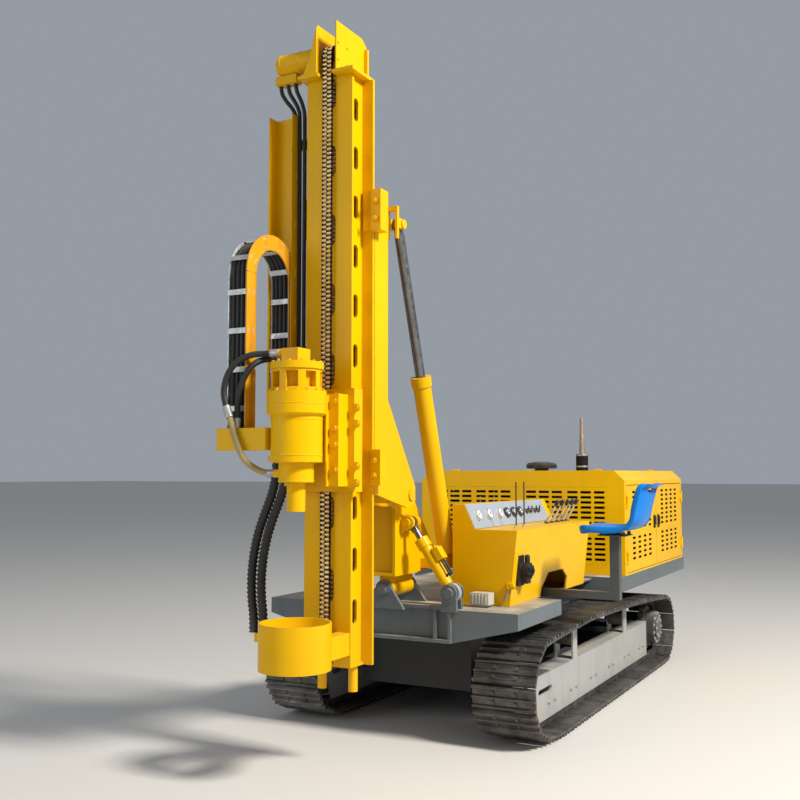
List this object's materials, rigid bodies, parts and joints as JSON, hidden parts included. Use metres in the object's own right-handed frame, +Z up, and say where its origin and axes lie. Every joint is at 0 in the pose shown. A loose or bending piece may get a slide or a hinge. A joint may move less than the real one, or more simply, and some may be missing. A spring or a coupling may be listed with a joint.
{
  "type": "crawler piling rig",
  "caption": "Crawler piling rig with a luffing and tilting box mast, chain-fed rotary head, engine housing with hinged doors and a side control stand with seat.",
  "frame": {"origin": "on the ground, midway between the tracks and midway along them", "axes": "+Z up, -Y forward to the mast, +X to the operator side"},
  "size_m": [2.384, 5.453, 4.16],
  "materials": {
    "yellow_paint": "satin",
    "grey_paint": "satin",
    "dark_grey_paint": "satin",
    "track_steel": "worn",
    "bright_steel": "polished",
    "steel": "satin",
    "engine_iron": "cast",
    "seat_vinyl": "matt",
    "hose_rubber": "matt",
    "hose_sleeve": "matt",
    "black_plastic": "matt"
  },
  "bodies": {
    "chassis": {"track_left": "track_steel", "track_right": "track_steel", "track_frame_left": "grey_paint", "track_frame_right": "grey_paint", "idler_wheels": "dark_grey_paint", "drive_sprockets": "dark_grey_paint", "track_rollers": "track_steel", "chassis_beams": "grey_paint", "deck_frame": "grey_paint", "engine_housing": "yellow_paint", "housing_front_grille": "yellow_paint", "engine_block": "engine_iron", "exhaust_stack": "steel", "intake_cap": "black_plastic", "control_console": "yellow_paint", "control_levers": "steel", "console_valve": "black_plastic", "deck_box": "grey_paint", "seat_post": "grey_paint", "operator_seat": "seat_vinyl"},
    "door_left_front": {"housing_door_left_front": "yellow_paint"},
    "door_left_rear": {"housing_door_left_rear": "yellow_paint"},
    "door_right_front": {"housing_door_right_front": "yellow_paint"},
    "door_right_rear": {"housing_door_right_rear": "yellow_paint"},
    "tilt_frame": {"tilt_frame": "yellow_paint"},
    "tilt_barrel": {"tilt_cylinder_barrel": "yellow_paint"},
    "tilt_rod": {"tilt_cylinder_rod": "bright_steel"},
    "luff_carrier": {"luff_carrier": "yellow_paint"},
    "luff_barrels": {"luff_cylinder_barrels": "yellow_paint"},
    "luff_rods": {"luff_cylinder_rods": "bright_steel"},
    "mast": {"mast": "yellow_paint", "mast_head": "yellow_paint", "head_sprocket": "dark_grey_paint", "foot_sprocket": "dark_grey_paint", "feed_motor_ports": "dark_grey_paint", "feed_motor_hoses": "hose_rubber", "drop_hose_outer": "hose_rubber", "drop_hose_inner": "hose_rubber", "feed_chain": "track_steel", "feed_motor": "yellow_paint", "hose_tray": "yellow_paint", "casing_guide": "yellow_paint", "hose_carrier_rear_leg": "steel"},
    "hose_carrier": {"hose_carrier_arch": "steel"},
    "head_carriage": {"head_carriage": "yellow_paint", "hose_bracket": "yellow_paint", "rotary_gearbox": "yellow_paint", "rotary_motor": "dark_grey_paint", "hose_carrier_front_leg": "steel", "head_hose_upper": "hose_rubber", "head_hose_lower": "hose_sleeve", "head_hose_inner": "hose_rubber"},
    "spindle": {"spindle": "yellow_paint"}
  },
  "joints": [
    {"name": "mast_tilt", "type": "hinge", "parent": "chassis", "child": "tilt_frame", "pos_m": [0, -1.78, 0.902], "axis": [0, -1, 0], "range_deg": [-3, 10]},
    {"name": "tilt_barrel_swing", "type": "hinge", "parent": "chassis", "child": "tilt_barrel", "pos_m": [0.428, -1.78, 0.897], "axis": [0, -1, 0], "range_deg": [-2, 6]},
    {"name": "tilt_rod_slide", "type": "slide", "parent": "tilt_barrel", "child": "tilt_rod", "axis": [-0.5585, 0, 0.8295], "range_m": [-0.02, 0.062]},
    {"name": "mast_luff", "type": "hinge", "parent": "tilt_frame", "child": "luff_carrier", "pos_m": [0, -1.885, 1.47], "axis": [-1, 0, 0], "range_deg": [-5, 70]},
    {"name": "luff_barrel_swing", "type": "hinge", "parent": "tilt_frame", "child": "luff_barrels", "pos_m": [0, -1.413, 1.051], "axis": [-1, 0, 0], "range_deg": [-5, 60]},
    {"name": "luff_rod_slide", "type": "slide", "parent": "luff_barrels", "child": "luff_rods", "axis": [0, -0.3206, 0.9472], "range_m": [-0.64, 0.05]},
    {"name": "mast_slide", "type": "slide", "parent": "luff_carrier", "child": "mast", "axis": [0, 0, 1], "range_m": [-0.3, 0.4]},
    {"name": "feed", "type": "slide", "parent": "mast", "child": "head_carriage", "axis": [0, 0, 1], "range_m": [-0.56, 1.3], "deforming": ["hose_carrier_front_leg", "hose_carrier_rear_leg"]},
    {"name": "hose_carrier_slide", "type": "slide", "parent": "mast", "child": "hose_carrier", "axis": [0, 0, 1], "range_m": [-0.28, 0.65]},
    {"name": "spindle_turn", "type": "hinge", "parent": "head_carriage", "child": "spindle", "pos_m": [0, -2.8, 1.5], "axis": [0, 0, 1], "continuous": true},
    {"name": "door_left_front_hinge", "type": "hinge", "parent": "chassis", "child": "door_left_front", "pos_m": [0.8795, 0.4725, 1.17], "axis": [0, 0, 1], "range_deg": [-110, 0]},
    {"name": "door_left_rear_hinge", "type": "hinge", "parent": "chassis", "child": "door_left_rear", "pos_m": [0.8795, 2.3645, 1.17], "axis": [0, 0, 1], "range_deg": [0, 110]},
    {"name": "door_right_front_hinge", "type": "hinge", "parent": "chassis", "child": "door_right_front", "pos_m": [-0.8795, 0.4725, 1.17], "axis": [0, 0, 1], "range_deg": [0, 110]},
    {"name": "door_right_rear_hinge", "type": "hinge", "parent": "chassis", "child": "door_right_rear", "pos_m": [-0.8795, 2.3645, 1.17], "axis": [0, 0, 1], "range_deg": [-110, 0]}
  ],
  "couplings": [
    {"joint": "tilt_barrel_swing", "follows": "mast_tilt", "ratio": 0.504},
    {"joint": "tilt_rod_slide", "follows": "mast_tilt", "m_per_rad": 0.3411},
    {"joint": "luff_barrel_swing", "follows": "mast_luff", "ratio": 0.829},
    {"joint": "luff_rod_slide", "follows": "mast_luff", "m_per_rad": -0.5093},
    {"joint": "hose_carrier_slide", "follows": "feed", "ratio": 0.5}
  ]
}
